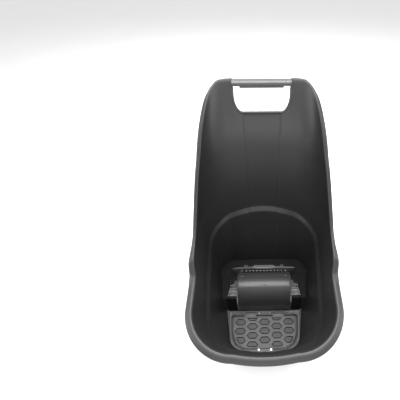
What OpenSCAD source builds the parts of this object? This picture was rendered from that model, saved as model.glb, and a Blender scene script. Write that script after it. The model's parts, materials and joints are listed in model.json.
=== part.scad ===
// Rolling garden tub: a moulded barrow body on one wide roller, with a lift-out
// carrier in the floor, a honeycomb drain hatch and a separate hand grip.
// Heights are measured from the ground, depths from the foremost edge of the lip.

/* [Tub] */
// Height of the front lip above the ground
rim_z = 430; // [380:5:500]
// Height of the two short shoulder steps where the rim starts to climb
shoulder_rise = 48; // [30:2:70]
// Height of the hand rail above the ground
top_z = 848; // [700:2:960]
// Inner half width of the tub at the front lip
rim_half = 213; // [190:1:260]
// Inner half width of the tub at its widest, over the shoulders
shoulder_half = 225; // [195:1:270]
// Inner half width of the back panel at the hand rail
top_half = 153; // [150:1:190]
// Depth from the lip to the foot of the front wall
front_foot = 80; // [60:1:90]
// Lean of the back wall, as depth gained for each unit of height
back_lean = 0.2; // [0.1:0.01:0.3]
// Extra backward flare of the panel at the hand rail
flare = 54; // [20:1:80]
// Wall thickness at the front
wall = 4; // [3:0.5:6]
// Wall thickness up the back panel
wall_back = 3; // [2.5:0.5:5]
// Floor thickness
floor_t = 5; // [4:0.5:8]
// Width of the rolled lip at the front
lip_front = 26; // [18:1:34]
// Width of the rolled lip up the back panel
lip_back = 14; // [12:1:22]
// Depth of the turned-down edge of the lip
lip_drop = 16; // [12:1:30]
// Outward step of the wall above the arch line
step = 9; // [4:0.5:12]
// Height of the arch line at the front
arch_front = 262; // [220:2:300]
// Height of the arch line on the back wall
arch_back = 420; // [370:2:440]

/* [Hand grip] */
// Half width of the hand opening at the grip
slot_half = 89; // [70:1:90]
// Half width of the hand opening along its bottom edge
slot_low_half = 60; // [46:1:68]
// Height of the hand opening below the hand rail
slot_drop = 78; // [60:1:100]
// Depth of the grip from front to back
grip_deep = 30; // [24:1:36]
// Thickness of the grip core
core_t = 9; // [7:0.5:12]
// Thickness of each grip shell over the core
shell_t = 4; // [3:0.5:6]

/* [Roller] */
// Radius of the roller over its tread
roller_r = 80; // [65:1:100]
// Width of the roller
roller_w = 204; // [160:2:250]
// Thickness of the rubber tread
tread_t = 9; // [5:0.5:14]
// Diameter of the axle
axle_d = 12; // [10:0.5:16]
// Outer diameter of the sleeve bushes
bush_d = 18; // [17:0.5:22]
// Length of each sleeve bush
bush_l = 24; // [14:1:40]
// Radial running clearance of the axle fits
run_fit = 0.05; // [0.02:0.01:0.1]

/* [Guard] */
// Air gap between the roller and its guard
guard_gap = 3.5; // [2:0.5:5]
// Wall thickness of the guard
guard_wall = 3.5; // [2.5:0.5:5]
// Angle of the guard past the top of the roller
guard_past = 28; // [22:1:34]

/* [Hatch] */
// Depth from the lip to the front edge of the lid
lid_y0 = 94; // [92:1:100]
// Depth from the lip to the back edge of the lid
lid_y1 = 232; // [222:1:234]
// Half width of the lid at its front edge
lid_front_half = 90; // [60:1:100]
// Thickness of the lid
lid_t = 5.5; // [4.5:0.5:5.5]
// Thickness of the carrier plate
plate_t = 7; // [6:0.5:7]
// Diameter of the hinge pins
pin_d = 5; // [4:0.5:5]
// Travel of the latch slide
latch_travel = 6; // [4:0.5:6]

/* [Hidden] */
$fn = 48;
eps = 0.01;

// ---------- places that follow from the sizes above ----------
axle_z = roller_r;
guard_in = roller_r + guard_gap;
guard_out = guard_in + guard_wall;
hinge_y = lid_y1 + 13;
hinge_to_guard = 14;
axle_y = hinge_y + hinge_to_guard + guard_out;
guard_front = axle_y - guard_out;
guard_rear = axle_y + guard_out * sin(guard_past);
guard_half = roller_w / 2 + 24;
crown_half = roller_w / 2 + 13;
well_half = guard_half + 1;
well_front = guard_front + guard_wall + 0.5;
well_back = axle_y + roller_r + 14;
riser_y = well_front + 1;
riser_run = 32;
riser_top = riser_y + riser_run;
shelf_z = axle_z + 6;
shelf_t = 6;
shelf_top = shelf_z + shelf_t;
plate_top = floor_t + plate_t;
back_foot = axle_y + roller_r + 47;
foot_half = guard_half + 34;
foot_back_half = guard_half + 78;
lid_half = foot_half - 8;

// ---------- small helpers ----------
function clamp(x) = min(1, max(0, x));
function smooth(x) = let (c = clamp(x)) c * c * (3 - 2 * c);
function mix(a, b, t) = a + (b - a) * t;
// Straight line from a to b below height h, then on to c at height top, softly joined.
function two_part(z, a, b, c, h) =
    mix(mix(a, b, z / h), mix(b, c, (z - h) / (top_z - h)), smooth((z - h + 40) / 80));

// Harmonic slopes and cubic steps through a table of [place, height] pairs.
function secant(tab, i) = (tab[i + 1][1] - tab[i][1]) / (tab[i + 1][0] - tab[i][0]);
function slope(tab, i) = i == 0 || i == len(tab) - 1 ? 0
    : let (a = secant(tab, i - 1), b = secant(tab, i)) a * b <= 0 ? 0 : 2 * a * b / (a + b);
function piece(tab, s) = len([for (k = [1 : len(tab) - 2]) if (tab[k][0] <= s) k]);
function curve(tab, s) =
    s <= tab[0][0] ? tab[0][1] :
    s >= tab[len(tab) - 1][0] ? tab[len(tab) - 1][1] :
    let (i = piece(tab, s), h = tab[i + 1][0] - tab[i][0], t = (s - tab[i][0]) / h,
         m0 = slope(tab, i) * h, m1 = slope(tab, i + 1) * h)
    tab[i][1] * (2 * t * t * t - 3 * t * t + 1) + m0 * (t * t * t - 2 * t * t + t)
    + tab[i + 1][1] * (3 * t * t - 2 * t * t * t) + m1 * (t * t * t - t * t);

// Outline with rounded corners: corner i has radius r[i].
function unit(v) = v / norm(v);
function corner_arc(a, b, c, r, n) =
    let (u = unit(a - b), w = unit(c - b), half = acos(max(-1, min(1, u * w))) / 2,
         reach = r / tan(half), centre = b + unit(u + w) * r / sin(half),
         p = b + u * reach - centre, q = b + w * reach - centre, sweep = 180 - 2 * half)
    [for (k = [0 : n]) let (t = k / n)
        centre + (p * sin((1 - t) * sweep) + q * sin(t * sweep)) / sin(sweep)];
function rounded(pts, r, n = 6) = [for (i = [0 : len(pts) - 1])
    each corner_arc(pts[(i + len(pts) - 1) % len(pts)], pts[i], pts[(i + 1) % len(pts)], r[i], n)];
function mirrored(right) = concat(right, [for (i = [len(right) - 1 : -1 : 0]) [-right[i][0], right[i][1]]]);

// ---------- tub surface ----------
// A place on the outline is a number s: 0 to 1 front wall, 1 to 2 front corner,
// 2 to 3 side wall, 3 to 4 back corner, 4 to 5 back wall, on the right half.
shoulder_z = rim_z + shoulder_rise;
back_turn_z = shoulder_z - 8;
flare_z = top_z - 148;
front_bow = 8;
back_bow = 3;
corner_foot_front = 62;
corner_rim_front = 122;
corner_foot_back = 66;
corner_shoulder_back = 106;
corner_top_back = 60;

function front_y(z) = mix(front_foot, lip_front + step, z / rim_z);
function back_y(z) = back_foot + back_lean * z
    + flare * pow(max(0, (z - flare_z) / (top_z - flare_z)), 1.4);
function side_half(z) = let (u = z / rim_z) mix(foot_half, rim_half, u + 0.5 * u * (1 - u));
function rear_half(z) = two_part(z, foot_back_half, shoulder_half, top_half, back_turn_z);
function front_r(z) = mix(corner_foot_front, corner_rim_front, z / rim_z);
function back_r(z) = two_part(z, corner_foot_back, corner_shoulder_back, corner_top_back, back_turn_z);
function crown(u) = pow(1 - u * u, 2);
function outline(s, z, d) =
    let (wf = side_half(min(z, shoulder_z)) + d, wb = rear_half(z) + d,
         yf = front_y(z) - d, yb = back_y(z) + d, rf = front_r(z) + d, rb = back_r(z) + d)
    s <= 1 ? [(wf - rf) * s, yf + front_bow * s * s] :
    s <= 2 ? let (a = (s - 1) * 90) [wf - rf + rf * sin(a), yf + front_bow + rf - rf * cos(a)] :
    s <= 3 ? [mix(wf, wb, s - 2), mix(yf + front_bow + rf, yb - rb, s - 2)] :
    s <= 4 ? let (a = (s - 3) * 90) [wb - rb + rb * cos(a), yb - rb + rb * sin(a)] :
    [(wb - rb) * (5 - s), yb + back_bow * crown(5 - s)];
// Place on the side wall that lies at depth y, at height z.
function side_place(y, z) = let (a = outline(2, z, 0)[1], b = outline(3, z, 0)[1]) 2 + (y - a) / (b - a);

climb = top_z - shoulder_z;
rim_table = [[0, rim_z], [2.2, rim_z], [2.32, rim_z + 6], [2.45, shoulder_z - 6], [2.52, shoulder_z],
    [2.62, shoulder_z + 0.02 * climb], [2.72, shoulder_z + 0.065 * climb],
    [2.85, shoulder_z + 0.26 * climb], [2.98, shoulder_z + 0.57 * climb],
    [3.12, shoulder_z + 0.79 * climb], [3.35, shoulder_z + 0.94 * climb], [3.7, top_z], [5, top_z]];
arch_rise = arch_back - arch_front;
arch_table = [[0, arch_front], [1.5, arch_front], [2, arch_front + 0.16 * arch_rise],
    [2.5, arch_front + 0.32 * arch_rise], [2.8, arch_front + 0.38 * arch_rise],
    [3, arch_front + 0.42 * arch_rise], [3.25, arch_front + 0.49 * arch_rise],
    [3.6, arch_front + 0.64 * arch_rise], [4, arch_front + 0.85 * arch_rise],
    [4.5, arch_front + 0.965 * arch_rise], [5, arch_back]];
function rim_h(s) = curve(rim_table, s);
function arch_h(s) = curve(arch_table, s);
function lip_w(s) = mix(lip_front, lip_back, smooth((s - 2.25) / 0.5));

function wall_w(s) = mix(wall, wall_back, smooth((s - 2.3) / 0.5));

// Height of the inside of the floor at depth y.
function floor_z(y) = mix(floor_t, shelf_z, clamp((y - riser_y) / riser_run));
function settle(s, z, n) = n == 0 ? z : settle(s, floor_z(outline(s, z, 0)[1]), n - 1);
function floor_at(s) =
    abs(s - s_riser0) < 0.0001 ? floor_t : abs(s - s_riser1) < 0.0001 ? shelf_z : settle(s, floor_t, 12);
s_riser0 = side_place(riser_y, floor_t);
s_riser1 = side_place(riser_top, shelf_z);

arch_band = 22;
lip_t = 3.5;
wall_parts = 3;
// Inside of the wall from the floor up, as [height, outward offset from the outline].
function inside(s) = let (f = floor_at(s), a = arch_h(s), low = a - arch_band, top = rim_h(s) - 10)
    concat([for (k = [0 : wall_parts]) [mix(f, low, k / wall_parts), 0]],
        [for (k = [0 : wall_parts]) [mix(a, top, k / wall_parts), step]]);
function outside(s) = let (f = floor_at(s), pts = inside(s))
    [for (k = [len(pts) - 1 : -1 : 0]) [k == 0 ? f - floor_t : pts[k][0], pts[k][1] + wall_w(s)]];
// The lip rolls over from the inside, down, and back under to the wall.
function lip(s) = let (h = rim_h(s), w = step + lip_w(s), e = step + wall_w(s))
    [[h - 4, step + 0.8], [h - 1, step + 3], [h, step + 6], [h, w - 7], [h - 2, w - 2.5], [h - 6, w],
     [h - lip_drop, w], [h - lip_drop, w - lip_t], [h - 8, w - lip_t], [h - lip_t, w - lip_t - 2.5],
     [h - lip_t, e + 2], [h - lip_t - 2.5, e]];
function profile(s) = concat(inside(s), lip(s), outside(s));

places = concat([0, 0.35, 0.7], [for (k = [0 : 7]) 1 + k / 8],
    [2, 2.1, 2.2, 2.26, 2.32, 2.385, 2.45, 2.52, 2.62, 2.72, 2.79, 2.85, 2.92], [s_riser0, s_riser1],
    [for (k = [0 : 8]) 3 + k / 8], [4.35, 4.7, 5]);
function below(v, x) = len([for (e = v) if (e < x) e]);
// The places in rising order, since the riser's own places depend on the sizes.
order = [for (r = [0 : len(places) - 1]) each [for (x = places) if (below(places, x) == r) x]];
function ring_point(s, zd) = let (p = outline(s, zd[0], zd[1])) [p[0], p[1], zd[0]];
function half_ring(side) = [for (s = order) [for (zd = profile(s)) let (p = ring_point(s, zd))
    [side * p[0], p[1], p[2]]]];

module tub_shell() {
    right = half_ring(1);
    left = half_ring(-1);
    n = len(order);
    // Around: right half front to back, then left half back to front.
    columns = concat(right, [for (i = [n - 2 : -1 : 1]) left[i]]);
    c = len(columns);
    m = len(columns[0]);
    points = [for (col = columns) each col];
    // Each wall panel is split along mirrored diagonals on the two halves.
    walls = [for (i = [0 : c - 1]) for (j = [0 : m - 2]) let (a = i * m + j, b = (i + 1) % c * m + j)
        each i < n - 1 ? [[a, b + 1, a + 1], [a, b, b + 1]] : [[a, b, a + 1], [b, b + 1, a + 1]]];
    // The floors are ruled straight across from the right half to the left.
    function lane(i) = i == 0 || i == n - 1 ? i : c - i;
    floors = [for (j = [0, m - 1]) for (i = [0 : n - 2]) let (
        a = i * m + j, b = (i + 1) * m + j, d = lane(i + 1) * m + j, e = lane(i) * m + j,
        quad = j == 0 ? [e, d, b, a] : [a, b, d, e])
        each [if (quad[0] != quad[1] && quad[1] != quad[2] && quad[0] != quad[2]) [quad[0], quad[1], quad[2]],
            if (quad[0] != quad[2] && quad[2] != quad[3] && quad[0] != quad[3]) [quad[0], quad[2], quad[3]]]];
    polyhedron(points, concat(walls, floors));
}

module tub() color("#2b2c2e") translate([0, -mid_y, 0]) difference() {
    tub_shell();
    hand_slot();
    well_cut(shelf_z + 30);
    axle_notches(shelf_z + 30);
    drain_cut();
    screw_bores(carrier_screw_places, screw_d);
    screw_bores(shroud_screw_places, screw_d);
    screw_bores(bracket_screw_places, screw_d);
}
front_edge = front_y(rim_z - 6) - step - lip_front;
back_edge = back_y(top_z - 2) + step + lip_back - 2.5
    + back_bow * crown(slot_half / (rear_half(top_z) - back_r(top_z)));
mid_y = (front_edge + back_edge) / 2;

// ---------- hand slot and grip ----------
slot_z = top_z - slot_drop;
slot_corner_z = slot_z + 44;
module hand_slot() translate([0, back_y(top_z) + 60, 0]) rotate([90, 0, 0]) linear_extrude(140)
    polygon(mirrored(concat([for (k = [0 : 10]) let (a = k * 9)
        [mix(slot_low_half, slot_half, sin(a)), mix(slot_corner_z, slot_z, cos(a))]], [[slot_half, top_z + 20]])));

grip_y = back_edge - 1 - grip_deep / 2;
grip_high = core_t + 2 * shell_t;
grip_z = top_z - 2.5 - grip_high / 2;
flange_t = 2.5;
spigot_d = 4;
spigot_l = 8;
// The spigots sit in the middle of the hollow under the lip.
spigot_y = back_y(grip_z) + step + (wall_back + lip_back - lip_t) / 2 + 1;
grip_screw_x = 52;
grip_screw_d = 3.5;
fit_gap = 0.15;
// Extrudes a front-to-back section along the width, from x0 to x1.
module across(x0, x1) translate([x0, 0, 0]) rotate([90, 0, 90]) linear_extrude(x1 - x0) children();
module bar_section(deep, high) polygon(rounded([[-deep / 2, -high / 2], [deep / 2, -high / 2],
    [deep / 2, high / 2], [-deep / 2, high / 2]], [high / 3, high / 3, high / 3, high / 3], 4));
module grip_place() translate([0, grip_y - mid_y, grip_z]) children();
module grip_bores(d) for (sx = [-1, 1]) translate([sx * grip_screw_x, 0, -grip_high])
    cylinder(d = d, h = 2 * grip_high);
module grip_core() color("#3a3b3d") grip_place() difference() {
    union() {
        across(-slot_half, slot_half) bar_section(grip_deep - 2 * shell_t, core_t);
        for (sx = [-1, 1]) mirror([1 - sx, 0, 0]) {
            across(slot_half - flange_t, slot_half) bar_section(grip_deep, grip_high);
            translate([0, spigot_y - grip_y, 0]) across(slot_half - eps, slot_half + spigot_l) circle(d = spigot_d);
        }
    }
    grip_bores(grip_screw_d);
}
module grip_shell(x, up) difference() {
    across(-x, x) difference() {
        bar_section(grip_deep, grip_high);
        bar_section(grip_deep - 2 * shell_t + 2 * fit_gap, core_t + 2 * fit_gap);
        translate([-grip_deep, up ? -2 * grip_high + fit_gap : -fit_gap]) square([2 * grip_deep, 2 * grip_high]);
    }
}
shell_half = slot_half - flange_t - fit_gap;
ridge_pitch = 5;
ridges = floor((shell_half - 5) / ridge_pitch);
sleeve_half = shell_half - 20;
module grip_upper() color("#56575a") grip_place() difference() {
    grip_shell(shell_half, true);
    for (k = [-ridges : ridges]) translate([k * ridge_pitch - 0.6, -grip_deep, grip_high / 2 - 0.7])
        cube([1.2, 2 * grip_deep, 2]);
}
module grip_lower() color("#3f4043") grip_place() difference() {
    grip_shell(sleeve_half, false);
    grip_bores(grip_screw_d + 0.5);
    for (sx = [-1, 1]) translate([sx * grip_screw_x, 0, -grip_high / 2 - 1]) cylinder(d = 8, h = 2.5);
}
module grip_screws() color("#8b8d90") grip_place() for (sx = [-1, 1]) translate([sx * grip_screw_x, 0, 0]) {
    translate([0, 0, -grip_high / 2 - 0.4]) cylinder(d = 7, h = 1.8);
    translate([0, 0, -grip_high / 2 + 1]) cylinder(d = grip_screw_d, h = grip_high / 2 + core_t / 2 - 1.5);
}

// ---------- carrier in the floor ----------
screw_d = 4;
screw_hole = screw_d + 0.4;
head_d = 8;
head_t = 2;
lug_t = 3;
bracket_t = 4;
// A pan head screw standing on z = 0, with its shank going down.
module screw(len) {
    cylinder(d = head_d, h = head_t);
    translate([0, 0, -len]) cylinder(d = screw_d, h = len + 0.5);
}
wing_end = axle_y + 56;
carrier_gap = 2;
carrier_screw_places = [for (sx = [-1, 1]) [sx * (guard_half + 33), hinge_y, plate_top]];
shroud_lug_x = 90;
shroud_lug_l = 15;
shroud_screw_places = [for (sx = [-1, 1]) [sx * shroud_lug_x, well_back + 13, shelf_z + lug_t]];
notch_half = 13;
module well_cut(z1) translate([-well_half, well_front, -1]) cube([2 * well_half, well_back - well_front, z1 + 1]);
module axle_notches(z1) translate([-axle_half - 5, axle_y - notch_half, -1])
    cube([2 * axle_half + 10, 2 * notch_half, z1 + 1]);
drain_inset = 18;
module drain_cut() translate([0, 0, -1]) linear_extrude(floor_t + 2) polygon(lid_outline(-drain_inset));
module screw_bores(list, d) for (p = list) translate([p[0], p[1], p[2] - 30]) cylinder(d = d, h = 40);

carrier_back_half = foot_half + 10;
carrier_split = guard_front - 2.5;
split_gap = 0.3;
module carrier_plan() difference() {
    polygon(let (side = [for (s = [0, 0.35, 0.7, for (k = [0 : 8]) 1 + k / 8, side_place(riser_top, floor_t)])
        let (p = outline(s, floor_t, -carrier_gap)) [min(p[0], bracket_front_x + 3), p[1]]])
        mirrored(concat([for (i = [1 : len(side) - 1]) side[i]], [[carrier_back_half, wing_end]])));
    polygon(lid_outline(2));
}
riser_slope = riser_run / (shelf_z - floor_t);
riser_t = 6.5;
module carrier_section() polygon([[front_foot - 20, floor_t], [riser_y - 0.6, floor_t],
    [riser_top - 0.6, shelf_z], [wing_end + 9, shelf_z], [wing_end + 9, shelf_top],
    [riser_top - 0.6 - riser_t + shelf_t * riser_slope, shelf_top],
    [riser_y - 0.6 - riser_t + plate_t * riser_slope, plate_top], [front_foot - 20, plate_top]]);
knuckle_r = 4.5;
hinge_z = floor_t + 0.6 + knuckle_r;
hinge_in = 27;
hinge_out = 107;
knuckle_l = 12;
bay_gap = 0.5;
module knuckle(x0, x1) translate([0, hinge_y, hinge_z]) across(x0, x1) circle(r = knuckle_r);
module pin_bore(x0, x1, d) translate([0, hinge_y, hinge_z]) across(x0, x1) circle(d = d);
module carrier() difference() {
    union() {
        intersection() {
            across(-foot_back_half, foot_back_half) carrier_section();
            linear_extrude(shelf_top + 5) carrier_plan();
        }
        for (sx = [-1, 1]) mirror([1 - sx, 0, 0]) {
            knuckle(hinge_in, hinge_in + knuckle_l);
            knuckle(hinge_out - knuckle_l, hinge_out);
        }
    }
    well_cut(shelf_top + 10);
    translate([-well_half, guard_front - 0.4, plate_top]) cube([2 * well_half, 60, shelf_top]);
    axle_notches(shelf_top + 10);
    for (sx = [-1, 1]) mirror([1 - sx, 0, 0]) {
        translate([hinge_in + knuckle_l, lid_y1, floor_t - 1])
            cube([hinge_out - hinge_in - 2 * knuckle_l, hinge_y - lid_y1 + knuckle_r + 1, plate_t + 2]);
        pin_bore(hinge_in - 5, hinge_out + 5, pin_d);
        pin_bore(hinge_in - 3.5, hinge_in, pin_d + 3);
    }
    screw_bores(carrier_screw_places, screw_hole);
    screw_bores(bracket_screw_places, screw_hole);
    screw_bores(guard_screw_places, screw_d);
    for (sx = [-1, 1]) translate([sx * latch_x, latch_y, 0]) cylinder(d = screw_d, h = plate_top + 2);
}
// The light front plate holds the hatch; the dark shelf behind it carries the axle brackets and the guard.
module carrier_part(y0, y1) translate([0, -mid_y, 0]) intersection() {
    carrier();
    translate([-foot_back_half, y0, -1]) cube([2 * foot_back_half, y1 - y0, shelf_top + 10]);
}
module carrier_frame() color("#77797c") carrier_part(0, carrier_split);
module carrier_shelf() color("#333437") carrier_part(carrier_split + split_gap, well_back + 10);
module carrier_screws() color("#9a9c9f") translate([0, -mid_y, 0])
    for (p = carrier_screw_places) translate(p) screw(plate_t + floor_t - 1.5);

// ---------- drain hatch ----------
function lid_outline(gap) = rounded(mirrored([[lid_front_half + gap * 0.7, lid_y0 - gap],
    [lid_half - 27 + gap * 0.8, lid_y0 + 18 - gap * 0.5], [lid_half - 6 + gap, lid_y0 + 66],
    [lid_half + gap, lid_y1 + gap]]), [20, 44, 60, 12, 12, 60, 44, 20], 7);
lid_z = plate_top - lid_t;
pocket_deep = 3;
pitch_x = 56;
pitch_y = 38.4;
cell_mid_y = lid_y0 + 74;
cell_half_x = 25;
cell_half_y = 13;
cell_flat = 12;
module cell() polygon([[-cell_half_x, 0], [-cell_flat, -cell_half_y], [cell_flat, -cell_half_y],
    [cell_half_x, 0], [cell_flat, cell_half_y], [-cell_flat, cell_half_y]]);
module hatch_lid() color("#7d7f82") translate([0, -mid_y, 0]) difference() {
    union() {
        translate([0, 0, lid_z]) linear_extrude(lid_t) polygon(lid_outline(0));
        for (sx = [-1, 1]) mirror([1 - sx, 0, 0]) {
            x0 = hinge_in + knuckle_l + bay_gap;
            x1 = hinge_out - knuckle_l - bay_gap;
            knuckle(x0, x1);
            translate([x0, lid_y1 - 1, lid_z]) cube([x1 - x0, hinge_y - lid_y1 + 1, lid_t]);
        }
    }
    translate([0, 0, plate_top - pocket_deep]) linear_extrude(pocket_deep + 1) intersection() {
        polygon(lid_outline(-8));
        union() for (col = [-2 : 2]) for (row = [-2 : 2])
            translate([col * pitch_x, cell_mid_y + (row + (col % 2 == 0 ? 0 : 0.5)) * pitch_y]) cell();
    }
    for (sx = [-1, 1]) mirror([1 - sx, 0, 0])
        pin_bore(hinge_in, hinge_out, pin_d + 2 * run_fit);
}
seal_t = 1.2;
seal_w = 7;
module hatch_seal() color("#1c1c1d") translate([0, -mid_y, lid_z - seal_t]) linear_extrude(seal_t)
    difference() {
        polygon(lid_outline(2 - drain_inset + seal_w));
        polygon(lid_outline(2 - drain_inset));
    }
module hinge_pin() translate([0, hinge_y - mid_y, hinge_z]) {
    across(hinge_in - 1, hinge_out) circle(d = pin_d);
    across(hinge_in - 3, hinge_in) circle(d = pin_d + 2.5);
}
module hinge_pin_left() color("#c4c6c8") mirror([1, 0, 0]) hinge_pin();
module hinge_pin_right() color("#c4c6c8") hinge_pin();

// The latch bar slides back over the front edge of the lid, along two shoulder screws.
latch_half = 35;
latch_x = 27;
latch_gap = 0.2;
latch_t = 3;
slot_w = screw_d + 0.4;
latch_wall = 1.2;
latch_y0 = front_foot + 1;
latch_deep = slot_w + latch_travel + 2 * latch_wall;
latch_y = latch_y0 + latch_deep - latch_wall - slot_w / 2;
module latch_slide() color("#66686b") translate([0, latch_y0 - mid_y, plate_top + latch_gap]) difference() {
    union() {
        linear_extrude(latch_t) polygon(rounded([[-latch_half, 0], [latch_half, 0],
            [latch_half, latch_deep], [-latch_half, latch_deep]], [3, 3, 3, 3], 4));
        for (k = [0 : 2]) translate([-12, 2.5 + k * 3.5, 0]) cube([24, 1.6, latch_t + 1.6]);
    }
    for (sx = [-1, 1]) translate([sx * latch_x, 0, -1]) linear_extrude(latch_t + 2) {
        translate([0, latch_wall + slot_w / 2]) circle(d = slot_w);
        translate([0, latch_deep - latch_wall - slot_w / 2]) circle(d = slot_w);
        translate([-slot_w / 2, latch_wall + slot_w / 2]) square([slot_w, latch_travel]);
    }
}
module latch_screws() color("#d0d2d4") translate([0, -mid_y, 0]) for (sx = [-1, 1])
    translate([sx * latch_x, latch_y, plate_top + latch_t + 2 * latch_gap]) {
        cylinder(d = 7, h = head_t);
        translate([0, 0, -latch_t - 2 * latch_gap - plate_t + 1]) cylinder(d = screw_d, h = latch_t + plate_t);
    }

// ---------- guard over the roller ----------
guard_foot = 56;
lug_out = 22;
lug_back = 12;
lug_y0 = axle_y - notch_half + 2.6;
lug_y1 = axle_y + notch_half + 1;
lug_y2 = lug_y1 + 14;
guard_screw_places = [for (sx = [-1, 1]) [sx * (guard_half + 6), lug_y2 - 7, shelf_top + bracket_t + lug_t]];
module guard_section(r, inset) difference() {
    union() {
        translate([axle_y, axle_z]) circle(r = r, $fn = 96);
        translate([axle_y - r, plate_top - 1]) square([2 * r, axle_z - plate_top + 1]);
    }
    translate([guard_rear - inset, -roller_r]) square([2 * r, 4 * roller_r]);
    translate([0, -100]) square([1000, 100 + plate_top]);
}
module guard_body(r, w, inset) intersection() {
    across(-guard_half, guard_half) guard_section(r, inset);
    translate([0, 1000, 0]) rotate([90, 0, 0]) linear_extrude(1000) polygon(mirrored(
        [[guard_half - w, plate_top - 10], [crown_half - w, axle_z + guard_out], [crown_half - w, 400]]));
}
module roller_guard() color("#4b4d50") translate([0, -mid_y, 0]) difference() {
    union() {
        guard_body(guard_out, 0, 0);
        for (sx = [-1, 1]) mirror([1 - sx, 0, 0]) {
            translate([crown_half - 2, riser_top, shelf_top])
                cube([well_half + 0.7 - crown_half + 2, shroud_y0 - 0.5 - riser_top, lug_t]);
            translate([0, 0, shelf_top + bracket_t]) linear_extrude(lug_t) polygon([[crown_half - 2, lug_y0],
                [guard_half + lug_out, lug_y0], [guard_half + lug_back, lug_y2], [crown_half - 2, lug_y2]]);
            translate([0, 0, shelf_top]) linear_extrude(bracket_t + 1) polygon([[crown_half - 2, lug_y1],
                [guard_half + lug_back, lug_y1], [guard_half + lug_back, lug_y2], [crown_half - 2, lug_y2]]);
        }
    }
    guard_body(guard_in, guard_wall, -200);
    translate([-200, riser_top + 2, 0]) cube([400, 200, guard_foot]);
    for (sx = [-1, 1]) mirror([1 - sx, 0, 0]) translate([0, axle_y, axle_z]) {
        translate([90, 0, 0]) across(0, 60) circle(r = spacer_d / 2 + 2);
        translate([90, -spacer_d / 2 - 2, -100]) cube([60, spacer_d + 4, 100]);
    }
    screw_bores(guard_screw_places, screw_hole);
}
module guard_screws() color("#9a9c9f") translate([0, -mid_y, 0])
    for (p = guard_screw_places) translate(p) screw(shelf_t + lug_t + bracket_t - 1);

// ---------- shroud behind the roller ----------
shroud_half = guard_half + 19;
shroud_reach = 65;
shroud_y0 = axle_y + shroud_reach;
shroud_y1 = well_back + 6;
shroud_z = axle_z + roller_r - 5;
shroud_ledge_l = 12;
shroud_t = 3.5;
shroud_tip = 3;
mouth_half = roller_w / 2 + 2;
mouth_gap = 2.5;
mouth_z = axle_z + sqrt(pow(roller_r + mouth_gap, 2) - pow(shroud_reach, 2));
foot_l = 6;
tab_half = 56;
tab_deep = 15;
notch_x = 41;
notch_l = 9;
notch_deep = 4.5;
// The hood slopes up from a long foot behind the well to a narrow ledge with drawn-out ends.
function ledge_rear(u, d) = shroud_y0 + max(d + 0.5, mix(shroud_tip, shroud_ledge_l, 1 - u * u) - d);
module shroud_hood(d) hull() {
    translate([-shroud_half + d, shroud_y0 + d, shelf_z - d])
        cube([2 * (shroud_half - d), shroud_y1 - shroud_y0 - 2 * d, foot_l]);
    translate([0, 0, shroud_z - foot_l]) linear_extrude(foot_l - d) polygon(concat(
        [[-shroud_half + d, shroud_y0 + d], [shroud_half - d, shroud_y0 + d]],
        [for (k = [0 : 8]) let (u = 1 - k / 4) [u * (shroud_half - d), ledge_rear(u, d)]]));
}
module rear_shroud() color("#606265") translate([0, -mid_y, 0]) difference() {
    union() {
        shroud_hood(0);
        for (sx = [-1, 1]) translate([sx * shroud_lug_x - 8, shroud_y1 - 2, shelf_z]) cube([16, shroud_lug_l, lug_t]);
        translate([0, shroud_y0, shroud_z - lug_t]) linear_extrude(2 * lug_t) polygon(rounded(
            [[-tab_half, 0], [tab_half, 0], [tab_half - 10, tab_deep], [-tab_half + 10, tab_deep]], [1, 1, 3, 3], 4));
    }
    shroud_hood(shroud_t);
    translate([-mouth_half, shroud_y0 - 5, shelf_z - 1]) cube([2 * mouth_half, 5 + shroud_t + 1, mouth_z - shelf_z + 1]);
    translate([-notch_x, shroud_y0 - 1, shroud_z + lug_t - notch_deep]) cube([2 * notch_x, notch_l, notch_deep + 1]);
    screw_bores(shroud_screw_places, screw_hole);
}
module shroud_screws() color("#9a9c9f") translate([0, -mid_y, 0])
    for (p = shroud_screw_places) translate(p) screw(lug_t + floor_t - 1);

// ---------- axle and its brackets ----------
leg_x0 = guard_half + 6;
leg_x1 = leg_x0 + 16;
axle_half = leg_x1 + 7;
bracket_in = well_half + 1;
bracket_front_x = guard_half + 43;
bracket_back_x = guard_half + 34;
bracket_y0 = riser_top + 6;
bracket_y1 = axle_y - notch_half + 2;
leg_half = notch_half - 1;
rib_h = 12;
rib_t = 4;
bracket_screw_places = [for (sx = [-1, 1]) each [[sx * (bracket_front_x - 9), bracket_y0 + 7, shelf_top + bracket_t],
    [sx * (bracket_in + 7), bracket_y0 + 7, shelf_top + bracket_t]]];
module bracket_plan() polygon([[bracket_in, bracket_y0], [bracket_front_x, bracket_y0],
    [bracket_back_x, bracket_y1], [bracket_in, bracket_y1]]);
module axle_bracket() translate([0, -mid_y, 0]) difference() {
    union() {
        translate([0, 0, shelf_top]) linear_extrude(bracket_t) bracket_plan();
        translate([leg_x0, axle_y - leg_half, axle_z - 14])
            cube([leg_x1 - leg_x0, 2 * leg_half, shelf_top + bracket_t - axle_z + 14]);
        translate([0, 0, shelf_top]) linear_extrude(rib_h) intersection() {
            bracket_plan();
            union() {
                for (y = [bracket_y0 + 13, bracket_y1 - rib_t]) translate([bracket_in, y]) square([60, rib_t]);
                polygon([[bracket_front_x - 6, bracket_y0 + 13], [bracket_front_x, bracket_y0 + 13],
                    [bracket_back_x, bracket_y1], [bracket_back_x - 6, bracket_y1]]);
            }
        }
    }
    translate([0, axle_y, axle_z]) across(100, 200) circle(d = axle_d + 2 * run_fit);
    screw_bores(bracket_screw_places, screw_hole);
}
module axle_bracket_left() color("#b4b6b8") mirror([1, 0, 0]) axle_bracket();
module axle_bracket_right() color("#b4b6b8") axle_bracket();
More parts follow.
